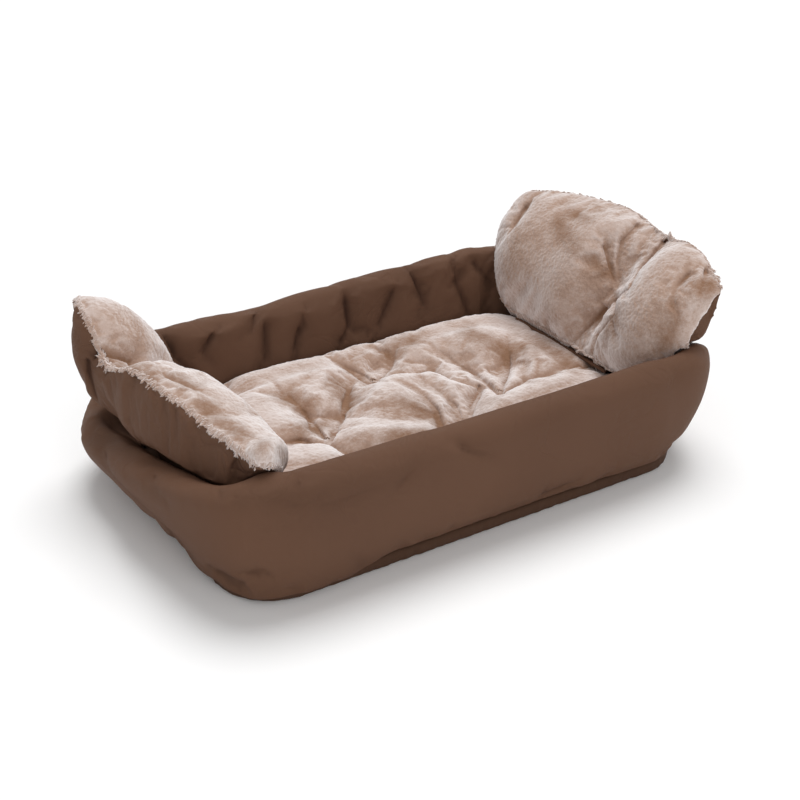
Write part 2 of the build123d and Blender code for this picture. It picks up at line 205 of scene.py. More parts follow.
class TubSettings(bpy.types.PropertyGroup):
    """Sizes and colours of the nylon tub."""

    nylon_color: FloatVectorProperty(
        name="Nylon", description="Colour of the nylon", subtype="COLOR", size=3,
        default=(0.146, 0.075, 0.046))
    # Painted shade: the nylon is darkened towards this colour in its pressed folds and hollows.
    painted_fold_shade_color: FloatVectorProperty(
        name="Nylon in Folds", description="Colour of the nylon in its folds", subtype="COLOR", size=3,
        default=(0.046, 0.021, 0.013))
    mesh_size: FloatProperty(
        name="Mesh Size", description="Edge length of the wall mesh", unit="LENGTH", default=0.0085)
    pressure: FloatProperty(name="Pressure", description="Push of the wadding on the walls", default=3.0)
    growth: FloatProperty(
        name="Slack", description="Spare fabric, as a share of its length", default=0.035)
    cap: FloatProperty(
        name="Swell Limit", description="Furthest that the wall fabric may move", unit="LENGTH",
        default=0.008)
    fold_depth: FloatProperty(
        name="Fold Depth", description="Depth of the pressed folds", unit="LENGTH", default=0.008)
    settle: FloatProperty(
        name="Settling", description="Furthest that a wall or pillow shifts where they rest together",
        unit="LENGTH", default=0.012)
    base_inset: FloatProperty(
        name="Base Inset", description="How far the base edge stands back", unit="LENGTH", default=0.005)


class LinerSettings(bpy.types.PropertyGroup):
    """Sizes and colours of the plush mattress and pillows."""

    # Painted sheen: this pale colour is painted on the plush's rises and on slopes turned from the sheen
    # axis.
    painted_sheen_color: FloatVectorProperty(
        name="Pile Tips", description="Colour of the pile where it stands up", subtype="COLOR", size=3,
        default=(0.86, 0.80, 0.785))
    light_color: FloatVectorProperty(
        name="Light Nap", description="Colour of the pile brushed one way", subtype="COLOR", size=3,
        default=(0.46, 0.322, 0.257))
    # Painted shade: this colour is mixed into the plush in creases and hollows. It is also the colour of
    # the darker brushed patches and of the thread.
    dark_color: FloatVectorProperty(
        name="Dark Nap", description="Colour of the pile pressed into a crease", subtype="COLOR", size=3,
        default=(0.26, 0.145, 0.088))
    mesh_size: FloatProperty(
        name="Mesh Size", description="Edge length of the cushion meshes", unit="LENGTH", default=0.006)
    pressure: FloatProperty(name="Pressure", description="Push of the wadding in the liner", default=4.0)
    growth: FloatProperty(name="Slack", description="Spare plush, as a share of its length", default=0.04)
    cap: FloatProperty(
        name="Swell Limit", description="Furthest that the plush may move", unit="LENGTH", default=0.009)
    valley_depth: FloatProperty(
        name="Valley Depth", description="Depth of the creases in the plush", unit="LENGTH",
        default=0.016)
    pile_length: FloatProperty(
        name="Pile Length", description="Length of the pile along the seams", unit="LENGTH",
        default=0.0065)
    pile_rough: FloatProperty(
        name="Pile Unevenness", description="Height of the small waves in the pile", unit="LENGTH",
        default=0.0006)
    seed: IntProperty(name="Seed", description="Start of the random draws", default=11)


class StageSettings(bpy.types.PropertyGroup):
    """Camera and lamps."""

    lens: FloatProperty(name="Lens", description="Focal length in millimetres", default=59.3)
    yaw: FloatProperty(
        name="Turn", description="Turn of the camera from the back direction", subtype="ANGLE",
        default=radians(31.69))
    pitch: FloatProperty(
        name="Tilt", description="Tilt of the camera below the horizon", subtype="ANGLE",
        default=radians(28.04))
    place: FloatVectorProperty(
        name="Camera Place", description="Where the camera stands", unit="LENGTH", size=3,
        default=(-0.9513, -1.5477, 1.0703))
    sky: FloatProperty(name="Sky", description="Strength of the even light", default=0.42)
    key: FloatProperty(name="Key", description="Strength of the light from behind and above", default=1.9)
    fill: FloatProperty(name="Fill", description="Strength of the light from the front", default=0.9)


# Camera rays

def camera_axes(stage):
    """Right, up and forward axes of the camera."""
    forward = Vector((
        sin(stage.yaw) * cos(stage.pitch), cos(stage.yaw) * cos(stage.pitch), -sin(stage.pitch)))
    right = Vector((cos(stage.yaw), -sin(stage.yaw), 0.0))
    return right, right.cross(forward), forward


def photo_lines(stage, tree, lines):
    """Lines of photograph pixels, put on the surface that the camera sees there."""
    right, up, forward = camera_axes(stage)
    focal = stage.lens / SENSOR_WIDTH * PHOTO_SIDE
    middle = PHOTO_SIDE / 2
    placed = []
    for line in lines:
        points = []
        for across, down in line:
            ray = forward * focal + right * (across - middle) + up * (middle - down)
            hit = tree.ray_cast(Vector(stage.place), ray.normalized())[0]
            if hit is not None:
                points.append(hit)
        if len(points) > 1:
            placed.append(np.array(points))
    return placed


# Mesh arrays

def read_rows(items, name):
    """A row of three numbers for each vertex or face of a mesh."""
    values = np.empty(len(items) * 3, np.float32)
    items.foreach_get(name, values)
    return values.reshape(-1, 3).astype(float)


def mesh_points(mesh):
    return read_rows(mesh.vertices, "co")


def set_points(mesh, points):
    mesh.vertices.foreach_set("co", points.astype(np.float32).ravel())
    mesh.update()


def mesh_normals(mesh):
    return read_rows(mesh.vertex_normals, "vector")


def face_centres(mesh):
    return read_rows(mesh.polygons, "center")


def mesh_edges(mesh):
    edges = np.empty(len(mesh.edges) * 2, np.int32)
    mesh.edges.foreach_get("vertices", edges)
    return edges.reshape(-1, 2)


def surface_tree(mesh):
    """A tree for rays and nearest points on a mesh."""
    mesh.calc_loop_triangles()
    triangles = [tuple(triangle.vertices) for triangle in mesh.loop_triangles]
    return BVHTree.FromPolygons([v.co.copy() for v in mesh.vertices], triangles)


def set_attribute(mesh, name, values):
    attribute = mesh.attributes.get(name) or mesh.attributes.new(name, "FLOAT", "POINT")
    attribute.data.foreach_set("value", np.asarray(values, np.float32))


def get_attribute(mesh, name):
    values = np.zeros(len(mesh.vertices), np.float32)
    mesh.attributes[name].data.foreach_get("value", values)
    return values


def relax(points, edges, rounds, factor=0.5):
    """Evens out points along their edges."""
    count = np.maximum(np.bincount(edges.ravel(), minlength=len(points)), 1)[:, None]
    used = np.bincount(edges.ravel(), minlength=len(points))[:, None] > 0
    for _ in range(rounds):
        total = np.zeros_like(points)
        for axis in range(3):
            total[:, axis] = np.bincount(
                edges[:, 0], points[edges[:, 1], axis], len(points)
            ) + np.bincount(edges[:, 1], points[edges[:, 0], axis], len(points))
        points = np.where(used, points + (total / count - points) * factor, points)
    return points


def smooth_step(values, start, end):
    """0 before start, 1 after end, and smooth between them."""
    share = np.clip((values - start) / (end - start), 0, 1)
    return share * share * (3 - 2 * share)


def noise_at(points, pitch, offset=0.0):
    """Smooth noise from -1 to 1 at each point, with hills about pitch apart."""
    shift = Vector((offset, offset * 1.7, -offset))
    return np.array([noise.noise(Vector(p) / pitch + shift) for p in points])


# Objects

def new_object(name, bm):
    """An object with the shape of a bmesh, which is freed."""
    mesh = bpy.data.meshes.new(name)
    bm.to_mesh(mesh)
    bm.free()
    obj = bpy.data.objects.new(name, mesh)
    bpy.context.scene.collection.objects.link(obj)
    return obj


def join_rings(bm, rings, far_cap=True):
    """Faces between rings of points, each ring joined to the one after it, and over the ends."""
    for low, high in zip(rings[:-1], rings[1:]):
        count = len(low)
        for number in range(count):
            after = (number + 1) % count
            bm.faces.new((low[number], low[after], high[after], high[number]))
    bm.faces.new(list(reversed(rings[0])))
    if far_cap:
        bm.faces.new(rings[-1])


def apply_modifiers(obj):
    """Turns the modified shape into the object's own mesh."""
    view = bpy.context.evaluated_depsgraph_get()
    mesh = bpy.data.meshes.new_from_object(obj.evaluated_get(view))
    obj.modifiers.clear()
    old = obj.data
    obj.data = mesh
    bpy.data.meshes.remove(old)


def keep_largest_shell(mesh):
    """Deletes every loose shell of a mesh but the largest one."""
    bm = bmesh.new()
    bm.from_mesh(mesh)
    unseen = set(bm.verts)
    shells = []
    while unseen:
        first = unseen.pop()
        shell = [first]
        waiting = [first]
        while waiting:
            vert = waiting.pop()
            for edge in vert.link_edges:
                other = edge.other_vert(vert)
                if other in unseen:
                    unseen.remove(other)
                    shell.append(other)
                    waiting.append(other)
        shells.append(shell)
    shells.sort(key=len)
    extra = [vert for shell in shells[:-1] for vert in shell]
    bmesh.ops.delete(bm, geom=extra, context="VERTS")
    bm.to_mesh(mesh)
    bm.free()


def skin(name, nodes, size, rounds=3):
    """The even outer skin round some CAD nodes, as a new object."""
    bm = bmesh.new()
    for node in nodes:
        bm.from_mesh(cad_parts[node].data)
    obj = new_object(name, bm)
    remesh = obj.modifiers.new("skin", "REMESH")
    remesh.mode = "VOXEL"
    remesh.voxel_size = size
    apply_modifiers(obj)
    keep_largest_shell(obj.data)
    set_points(obj.data, relax(mesh_points(obj.data), mesh_edges(obj.data), rounds))
    return obj


def line_distance(points, normals, line):
    """Distance of each point to a line of points, how far along it lies, and on which side of it."""
    best = np.full(len(points), 1e9)
    along = np.zeros(len(points))
    side = np.zeros(len(points))
    spans = np.linalg.norm(np.diff(line, axis=0), axis=1)
    total = spans.sum()
    before = 0.0
    for start, end, span in zip(line[:-1], line[1:], spans):
        run = (end - start) / max(span, 1e-9)
        offset = points - start
        reach = np.clip(offset @ run, 0, span)
        away = np.linalg.norm(offset - reach[:, None] * run, axis=1)
        nearer = away < best
        best = np.where(nearer, away, best)
        along = np.where(nearer, (before + reach) / max(total, 1e-9), along)
        turned = np.einsum("ij,ij->i", np.cross(run, offset), normals)
        side = np.where(nearer, np.sign(turned), side)
        before += span
    return best, along, side


def press_lines(obj, lines, depth, width, fade=0.75, lean=0.0, mark=1.0):
    """Presses valleys into a surface along lines. They fade towards their ends, lean makes one side
    steeper than the other, and mark says how much painted shade they lay in the valleys. An open border
    stays put."""
    points = mesh_points(obj.data)
    normals = mesh_normals(obj.data)
    pressed = get_attribute(obj.data, "pressed") if "pressed" in obj.data.attributes else 0
    push = np.zeros(len(points))
    for line in lines:
        low = line.min(axis=0) - 5 * width
        high = line.max(axis=0) + 5 * width
        near = np.flatnonzero(np.all((points > low) & (points < high), axis=1))
        away, along, side = line_distance(points[near], normals[near], line)
        taper = 1 - fade * along ** 2
        reach = width * (1 + lean * side)
        push[near] = np.maximum(push[near], taper * np.exp(-((away / reach) ** 1.25)))
    sink = push * depth * open_edge_distance(obj.data, 5)
    set_points(obj.data, points - normals * sink[:, None])
    # Painted shade: the pressed mark darkens the valleys in the materials.
    set_attribute(obj.data, "pressed", np.maximum(pressed, push * mark))


def mark_hollows(obj, rounds, full, kept):
    """Notes how deep each point lies below its surroundings: 0.5 is level and 1 is a hollow. Only a
    kept share of the wide valleys' own mark stays."""
    mesh = obj.data
    points = mesh_points(mesh)
    even = relax(points, mesh_edges(mesh), rounds)
    depth = np.einsum("ij,ij->i", even - points, mesh_normals(mesh))
    # Painted shade and highlight: the hollow mark darkens hollows in the materials, and on the plush it
    # paints rises paler.
    set_attribute(mesh, "hollow", np.clip(0.5 + depth / (2 * full), 0, 1))
    set_attribute(mesh, "pressed", get_attribute(mesh, "pressed") * kept)


def near_lines(points, lines, reach):
    """Which points lie within reach of some line."""
    found = np.zeros(len(points), bool)
    for line in lines:
        found |= line_distance(points, points, line)[0] < reach
    return found


def inflate(obj, held, pressure, growth, cap):
    """Swells a cushion as cloth. Held points stay put and no other moves further than cap."""
    group = obj.vertex_groups.new(name="held")
    group.add(np.flatnonzero(held).tolist(), 1.0, "REPLACE")
    settings = obj.modifiers.new("cloth", "CLOTH").settings
    settings.vertex_group_mass = "held"
    settings.use_pressure = True
    settings.uniform_pressure_force = pressure
    settings.effector_weights.gravity = 0
    settings.shrink_min = -growth
    settings.quality = 4
    scene = bpy.context.scene
    for number in range(1, CLOTH_FRAMES + 1):
        scene.frame_set(number)
    swelled = obj.evaluated_get(bpy.context.evaluated_depsgraph_get())
    rest = mesh_points(obj.data)
    move = mesh_points(swelled.to_mesh()) - rest
    swelled.to_mesh_clear()
    length = np.maximum(np.linalg.norm(move, axis=1), 1e-9)
    share = cap * np.tanh(length / cap) / length
    obj.modifiers.clear()
    obj.vertex_groups.clear()
    set_points(obj.data, rest + move * share[:, None])
    scene.frame_set(1)


def cut_out(obj, name, faces):
    """A new object with only the chosen faces of another one."""
    bm = bmesh.new()
    bm.from_mesh(obj.data)
    bm.faces.ensure_lookup_table()
    extra = [face for face, kept in zip(bm.faces, faces) if not kept]
    bmesh.ops.delete(bm, geom=extra, context="FACES")
    return new_object(name, bm)


def seam_edges(mesh, faces):
    """Edges between chosen faces and the others, and the way across each one to the chosen side."""
    sides = {}
    for polygon, chosen in zip(mesh.polygons, faces):
        for key in polygon.edge_keys:
            sides.setdefault(key, {})[bool(chosen)] = polygon.center
    found = [(key, both[True] - both[False]) for key, both in sides.items() if len(both) == 2]
    return np.array([key for key, _way in found]), [way.normalized() for _key, way in found]


def even_seam(mesh, faces, rounds=12):
    """Straightens the seam between chosen faces and the others."""
    edges = seam_edges(mesh, faces)[0]
    set_points(mesh, relax(mesh_points(mesh), edges, rounds))
    return edges


def mark_patches(obj, lines, width):
    """Notes where the pile is brushed the dark way, in patches along lines."""
    points = mesh_points(obj.data)
    share = np.zeros(len(points))
    for line in lines:
        away = line_distance(points, points, line)[0]
        share = np.maximum(share, np.exp(-((away / width) ** 2)))
    set_attribute(obj.data, "brushed", share)


def nearest_is(mesh, near_node, far_node):
    """For each face, whether it lies nearer to one CAD node than to another."""
    near, far = (surface_tree(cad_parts[node].data) for node in (near_node, far_node))
    places = [Vector(centre) for centre in face_centres(mesh)]
    return np.array([near.find_nearest(place)[3] < far.find_nearest(place)[3] for place in places])


def finer(obj, levels=1):
    """Divides a mesh and smooths it."""
    obj.modifiers.new("finer", "SUBSURF").levels = levels
    apply_modifiers(obj)


def open_edge_distance(mesh, rounds):
    """How many edges each point lies from the open border of a mesh, up to rounds, as a share."""
    corners = np.empty(len(mesh.loops), np.int32)
    mesh.loops.foreach_get("edge_index", corners)
    uses = np.bincount(corners, minlength=len(mesh.edges))
    pairs = mesh_edges(mesh)
    steps = np.full(len(mesh.vertices), float(rounds))
    steps[pairs[uses == 1].ravel()] = 0
    for _ in range(rounds):
        low = np.minimum(steps[pairs[:, 0]], steps[pairs[:, 1]]) + 1
        np.minimum.at(steps, pairs[:, 0], low)
        np.minimum.at(steps, pairs[:, 1], low)
    return steps / rounds


def fluff(obj, height, pitch, seed):
    """Raises the pile in small uneven waves, but not along the open edge of the piece."""
    mesh = obj.data
    points = mesh_points(mesh)
    free = open_edge_distance(mesh, 3)
    waves = noise_at(points, pitch, seed) + 0.7 * noise_at(points, pitch * 0.45, seed + 5)
    set_points(mesh, points + mesh_normals(mesh) * (waves * height * free)[:, None])


def dress(obj, body, material, replaced=()):
    """Gives a finished piece its material, smooth shading and body, and hides the CAD nodes that it
    replaces.
    """
    obj.data.materials.clear()
    obj.data.materials.append(material)
    obj.data.polygons.foreach_set("use_smooth", np.ones(len(obj.data.polygons), bool))
    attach(obj, body)
    if replaced:
        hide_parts(*replaced)


# Node groups

def new_group(name, inputs, outputs):
    """A node group with its sockets: each is (name, type, default)."""
    group = bpy.data.node_groups.new(name, "ShaderNodeTree")
    for label, kind, default in inputs:
        socket = group.interface.new_socket(label, in_out="INPUT", socket_type=kind)
        socket.default_value = default
    for label, kind in outputs:
        group.interface.new_socket(label, in_out="OUTPUT", socket_type=kind)
    return group, group.nodes.new("NodeGroupInput"), group.nodes.new("NodeGroupOutput")


def set_inputs(tree, node, links):
    """Links sockets to a node's inputs, and sets the other values there."""
    for key, value in links.items():
        if isinstance(value, bpy.types.NodeSocket):
            tree.links.new(value, node.inputs[key])
        else:
            node.inputs[key].default_value = value


def add_node(tree, kind, links=None, **values):
    """A node with values, and inputs linked or set by name."""
    node = tree.nodes.new(kind)
    for key, value in values.items():
        setattr(node, key, value)
    set_inputs(tree, node, links or {})
    return node


def math_node(tree, operation, first, second, third=None):
    links = {0: first, 1: second}
    if third is not None:
        links[2] = third
    return add_node(tree, "ShaderNodeMath", links, operation=operation).outputs[0]


def mix_colors(tree, factor, first, second):
    return add_node(tree, "ShaderNodeMix", {0: factor, 6: first, 7: second}, data_type="RGBA").outputs[2]


def map_range(tree, value, start, end, low=0.0, high=1.0):
    """A value, moved from one range to another and clamped."""
    links = {"Value": value, "From Min": start, "From Max": end, "To Min": low, "To Max": high}
    return add_node(tree, "ShaderNodeMapRange", links).outputs[0]


def noise_node(tree, place, scale, **values):
    """Smooth noise over a place."""
    links = {"Vector": place, "Scale": scale}
    links.update({key.capitalize(): value for key, value in values.items()})
    return add_node(tree, "ShaderNodeTexNoise", links).outputs[0]


def add_bump(tree, height, distance):
    """Small relief for a material's Normal."""
    links = {"Height": height, "Strength": 0.5, "Distance": distance}
    return add_node(tree, "ShaderNodeBump", links).outputs[0]


def weave_group():
    """Fine crossing yarns of woven nylon, and the faint sharp wrinkles between its folds."""
    found = bpy.data.node_groups.get("Nylon Weave")
    if found:
        return found
    group, given, out = new_group(
        "Nylon Weave",
        [("Yarns per Metre", "NodeSocketFloat", 1400.0), ("Yarn Height", "NodeSocketFloat", 0.12),
         ("Wrinkle Height", "NodeSocketFloat", 1.0), ("Wrinkle Scale", "NodeSocketFloat", 9.0)],
        [("Height", "NodeSocketFloat"), ("Unevenness", "NodeSocketFloat")])
    place = add_node(group, "ShaderNodeTexCoord").outputs["Object"]
    spot = add_node(group, "ShaderNodeSeparateXYZ", {0: place})
    yarns = []
    for first, second in (("X", "Y"), ("Z", "Z")):
        run = math_node(group, "ADD", spot.outputs[first], spot.outputs[second])
        turn = math_node(group, "MULTIPLY", run, given.outputs["Yarns per Metre"])
        yarns.append(math_node(group, "SINE", math_node(group, "MULTIPLY", turn, 2 * pi), 0.0))
    cross = math_node(group, "MULTIPLY", yarns[0], yarns[1])
    yarn_part = math_node(group, "MULTIPLY", cross, given.outputs["Yarn Height"])
    bends = noise_node(
        group, place, given.outputs["Wrinkle Scale"], detail=3.0, roughness=0.55, distortion=0.8)
    level = math_node(group, "ABSOLUTE", math_node(group, "SUBTRACT", bends, 0.5), 0.0)
    line = add_node(
        group, "ShaderNodeMapRange", {"Value": level, "From Max": 0.035, "To Min": -1.0, "To Max": 0.0},
        interpolation_type="SMOOTHSTEP")
    patch = noise_node(group, place, 5.0, detail=1.0)
    wrinkle = math_node(group, "MULTIPLY", line.outputs[0], map_range(group, patch, 0.46, 0.62))
    broad = math_node(group, "MULTIPLY_ADD", bends, 1.6, wrinkle)
    wrinkle_part = math_node(group, "MULTIPLY", broad, given.outputs["Wrinkle Height"])
    height = math_node(group, "ADD", yarn_part, wrinkle_part)
    set_inputs(group, out, {"Height": height, "Unevenness": patch})
    return group


def nap_group():
    """How dark the pile is painted, with painted shade in creases and hollows, darker brushed patches and
    a fine grain, and how much paler painted sheen it gets on rises and on slopes turned from the sheen
    axis.
    """
    found = bpy.data.node_groups.get("Nap with Painted Shade and Sheen")
    if found:
        return found
    group, given, out = new_group(
        "Nap with Painted Shade and Sheen",
        [("Patch Scale", "NodeSocketFloat", 16.0), ("Grain Scale", "NodeSocketFloat", 420.0),
         ("Pressed", "NodeSocketFloat", 0.0), ("Hollow", "NodeSocketFloat", 0.5),
         ("Brushed", "NodeSocketFloat", 0.0)],
        [("Darkness", "NodeSocketFloat"), ("Painted Sheen", "NodeSocketFloat"), ("Height", "NodeSocketFloat")])
    place = add_node(group, "ShaderNodeTexCoord").outputs["Object"]
    patches = noise_node(
        group, place, given.outputs["Patch Scale"], detail=4.0, roughness=0.6, distortion=0.5)
    strokes = noise_node(group, place, STROKE_SCALE, detail=4.0, roughness=0.7)
    grain = noise_node(group, place, given.outputs["Grain Scale"], detail=2.0, roughness=0.7)
    patch = map_range(group, patches, 0.42, 0.7, -0.1, 0.26)
    stroke = map_range(group, strokes, 0.3, 0.7, -0.13, 0.13)
    tips = map_range(group, grain, 0.25, 0.75, -0.13, 0.13)
    # Painted shade: hollows and pressed creases darken the pile, added to the darker brushed patches.
    hollow_shade = map_range(group, given.outputs["Hollow"], 0.5, 0.95, 0.0, 0.8)
    crease_and_hollow_shade = math_node(group, "MULTIPLY_ADD", given.outputs["Pressed"], 0.55, hollow_shade)
    nap_and_shade = math_node(group, "MULTIPLY_ADD", given.outputs["Brushed"], 0.72, crease_and_hollow_shade)
    rough = math_node(group, "ADD", math_node(group, "ADD", patch, stroke), tips)
    darkness = add_node(group, "ShaderNodeMath", {0: nap_and_shade, 1: rough}, operation="ADD", use_clamp=True)
    # Painted highlight and sheen: rises, and slopes turned from the sheen axis, are painted paler, less a
    # little random tone.
    rise_highlight = map_range(group, given.outputs["Hollow"], 0.5, 0.25, 0.0, 0.6)
    turned = add_node(
        group, "ShaderNodeVectorMath",
        {0: add_node(group, "ShaderNodeTexCoord").outputs["Normal"], 1: PAINTED_SHEEN_AXIS},
        operation="DOT_PRODUCT").outputs["Value"]
    facing_sheen = map_range(group, turned, 0.77, 0.05)
    highlight_and_tone = math_node(group, "SUBTRACT", rise_highlight, rough)
    lit = add_node(
        group, "ShaderNodeMath", {0: highlight_and_tone, 1: 0.6, 2: facing_sheen}, operation="MULTIPLY_ADD",
        use_clamp=True).outputs[0]
    height = math_node(group, "MULTIPLY_ADD", strokes, 1.2, grain)
    set_inputs(group, out, {"Darkness": darkness.outputs[0], "Painted Sheen": lit, "Height": height})
    return group


# Materials

def new_material(name, color):
    """A material with its shader: returns the material, its tree and the shader."""
    material = bpy.data.materials.new(name)
    material.use_nodes = True
    material.diffuse_color = (*color, 1.0)
    tree = material.node_tree
    return material, tree, tree.nodes["Principled BSDF"]


def nylon_material(name, color, shade):
    """Matte woven nylon, with painted shade in its folds and hollows."""
    found = bpy.data.materials.get(name)
    if found:
        return found
    material, tree, shader = new_material(name, color)
    weave = add_node(tree, "ShaderNodeGroup", node_tree=weave_group())
    pressed = add_node(tree, "ShaderNodeAttribute", attribute_name="pressed").outputs["Fac"]
    hollow = add_node(tree, "ShaderNodeAttribute", attribute_name="hollow").outputs["Fac"]
    # Painted shade: hollows and pressed folds darken the nylon towards its shade colour, with a little
    # random unevenness of tone.
    hollow_shade = map_range(tree, hollow, 0.5, 0.95)
    uneven = map_range(tree, weave.outputs["Unevenness"], 0.35, 0.7, 0.0, 0.16)
    fold_shade_and_tone = math_node(tree, "MULTIPLY_ADD", pressed, 0.75, uneven)
    factor = add_node(
        tree, "ShaderNodeMath", {0: hollow_shade, 1: 0.6, 2: fold_shade_and_tone}, operation="MULTIPLY_ADD", use_clamp=True)
    set_inputs(tree, shader, {
        "Base Color": mix_colors(tree, factor.outputs[0], (*color, 1.0), (*shade, 1.0)),
        "Normal": add_bump(tree, weave.outputs["Height"], 0.0022), "Roughness": 0.6,
        "Specular IOR Level": 0.1})
    return material


def tub_nylon(tub):
    """The nylon of walls, pillow backs and strips."""
    return nylon_material("Tub Nylon", tub.nylon_color, tub.painted_fold_shade_color)


def plush_material(liner):
    """Short brushed pile, darker in brushed patches and with painted shade in creases and hollows, and
    painted paler as a sheen on rises and on slopes turned from the camera's way.
    """
    found = bpy.data.materials.get("Beige Plush")
    if found:
        return found
    material, tree, shader = new_material("Beige Plush", liner.light_color)
    marks = {
        label: add_node(tree, "ShaderNodeAttribute", attribute_name=label.lower()).outputs["Fac"]
        for label in ("Pressed", "Hollow", "Brushed")}
    nap = add_node(tree, "ShaderNodeGroup", marks, node_tree=nap_group())
    # Painted sheen: the paler colour is mixed in by the group's sheen output.
    with_painted_sheen = mix_colors(tree, nap.outputs["Painted Sheen"], (*liner.light_color, 1.0), (*liner.painted_sheen_color, 1.0))
    set_inputs(tree, shader, {
        "Base Color": mix_colors(tree, nap.outputs["Darkness"], with_painted_sheen, (*liner.dark_color, 1.0)),
        "Normal": add_bump(tree, nap.outputs["Height"], 0.0013), "Roughness": 0.95,
        "Specular IOR Level": 0.04, "Sheen Weight": 0.15, "Sheen Roughness": 0.5,
        "Sheen Tint": (1.0, 0.97, 0.96, 1.0)})
    return material


def thread_material(liner):
    """Twisted sewing thread."""
    found = bpy.data.materials.get("Beige Thread")
    if found:
        return found
    material, tree, shader = new_material("Beige Thread", liner.dark_color)
    place = add_node(tree, "ShaderNodeTexCoord").outputs["Object"]
    wave = {"Vector": place, "Scale": 380.0, "Distortion": 1.5}
    twist = add_node(tree, "ShaderNodeTexWave", wave).outputs[1]
    shade = (*[value * 0.6 for value in liner.dark_color], 1.0)
    set_inputs(tree, shader, {
        "Base Color": mix_colors(tree, twist, (*liner.dark_color, 1.0), shade),
        "Normal": add_bump(tree, twist, 0.0004), "Roughness": 0.7})
    return material


def floor_material():
    """White studio floor."""
    white = (0.98, 0.98, 0.98)
    material, tree, shader = new_material("Studio Floor", white)
    set_inputs(tree, shader, {"Base Color": (*white, 1.0), "Roughness": 1.0, "Specular IOR Level": 0.0})
    return material


# Shapes

def rounded_outline(length, depth, corner, step):
    """Points round a rectangle with rounded corners."""
    points = []
    for turn, (side_x, side_y) in enumerate(((1, 1), (-1, 1), (-1, -1), (1, -1))):
        middle = np.array([side_x * (length / 2 - corner), side_y * (depth / 2 - corner)])
        count = max(2, round(corner * pi / 2 / step))
        for number in range(count + 1):
            angle = pi / 2 * (turn + number / count)
            points.append(middle + corner * np.array([cos(angle), sin(angle)]))
        following = points[-1]
        across = (turn + 1) % 2 == 1
        run = length - 2 * corner if across else depth - 2 * corner
        heading = np.array([-side_x, 0.0]) if across else np.array([0.0, -side_y])
        count = max(2, round(run / step))
        for number in range(1, count):
            points.append(following + heading * run * number / count)
    return np.array(points)


def ring_mesh(name, rings):
    """A closed piece through rings of points."""
    bm = bmesh.new()
    rows = [[bm.verts.new(point) for point in ring] for ring in rings]
    join_rings(bm, rows)
    return new_object(name, bm)


def pile_strands(name, starts, heads, length, seed):
    """Small closed tapered clumps of pile, from start points towards heads, each bent at its middle.
    A longer head makes a longer clump."""
    draw = random.Random(seed)
    bm = bmesh.new()
    turns = [2 * pi * number / 4 for number in range(4)]
    for start, head in zip(starts, heads):
        root = Vector(start)
        head = Vector(head) + Vector([draw.uniform(-PILE_SPREAD, PILE_SPREAD) for _ in range(3)])
        reach = length * head.length * draw.uniform(*PILE_LENGTHS)
        head.normalize()
        side = head.orthogonal().normalized()
        other = head.cross(side)
        half = PILE_WIDTH * draw.uniform(*PILE_HALVES)
        bend = Vector([draw.uniform(-PILE_BEND, PILE_BEND) for _ in range(3)]) * reach
        rings = []
        for along, share in PILE_RINGS:
            middle = root + head * reach * along + bend * max(along, 0) ** 2
            rings.append([
                bm.verts.new(middle + (side * cos(turn) + other * sin(turn)) * half * share)
                for turn in turns])
        tip = bm.verts.new(root + head * reach + bend)
        join_rings(bm, rings, far_cap=False)
        for number in range(4):
            bm.faces.new((rings[-1][number], rings[-1][(number + 1) % 4], tip))
    pile = new_object(name, bm)
    # Painted highlight: the clumps count as slightly raised, so the plush material paints them a little
    # paler.
    set_attribute(pile.data, "hollow", np.full(len(pile.data.vertices), PILE_HOLLOW))
    return pile


# Pieces

def build_base(tub):
    """The flat padded base under the walls, its edge drawn in and puckered."""
    low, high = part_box("base_underside")
    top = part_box("floor_lining")[1].z
    length = high.x - low.x
    depth = high.y - low.y
    corner = depth * BASE_CORNER_SHARE
    rings = []
    for inset, level in BASE_PROFILE:
        away = inset + tub.base_inset
        outline = rounded_outline(length - 2 * away, depth - 2 * away, corner - away, BASE_STEP)
        ring = np.column_stack([outline, np.full(len(outline), top * level)])
        if inset < PUCKER_REACH:
            pucker = noise_at(ring * (1, 1, 0), PUCKER_PITCH, offset=3.0) * PUCKER_DEPTH
            ring[:, :2] *= 1 + (pucker / np.linalg.norm(ring[:, :2], axis=1))[:, None]
        rings.append(ring)
    counts = min(len(ring) for ring in rings)
    even = [ring[np.linspace(0, len(ring) - 1, counts).round().astype(int)] for ring in rings]
    base = ring_mesh("base_pad", even)
    # Painted shade: the base's nylon is the walls' nylon painted darker, as shade under the walls'
    # overhang, and its folds are darker still.
    dark = [value * 0.6 for value in tub.nylon_color]
    material = nylon_material("Base Nylon in Painted Shade", dark, [value * 0.5 for value in dark])
    replaced = ("base_underside", "base_wadding", "floor_lining")
    dress(base, "tub", material, replaced)


def wall_folds(reach):
    """Upright folds on the inner face of the front wall, which the photograph hides."""
    draw = random.Random(FRONT_FOLD_SEED)
    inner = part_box("front_wall_cover")[1].y
    folds = []
    for number in range(FRONT_FOLD_COUNT):
        across = -reach + 2 * reach * (number + draw.uniform(0.2, 0.8)) / FRONT_FOLD_COUNT
        tilt = draw.uniform(-FRONT_FOLD_TILT, FRONT_FOLD_TILT)
        drop = draw.uniform(*FRONT_FOLD_DROP)
        top = draw.uniform(*FRONT_FOLD_TOP)
        folds.append(np.array([
            (across + tilt, inner, top - drop), (across + tilt * 0.4, inner, top - drop / 2),
            (across, inner, top)]))
    return folds


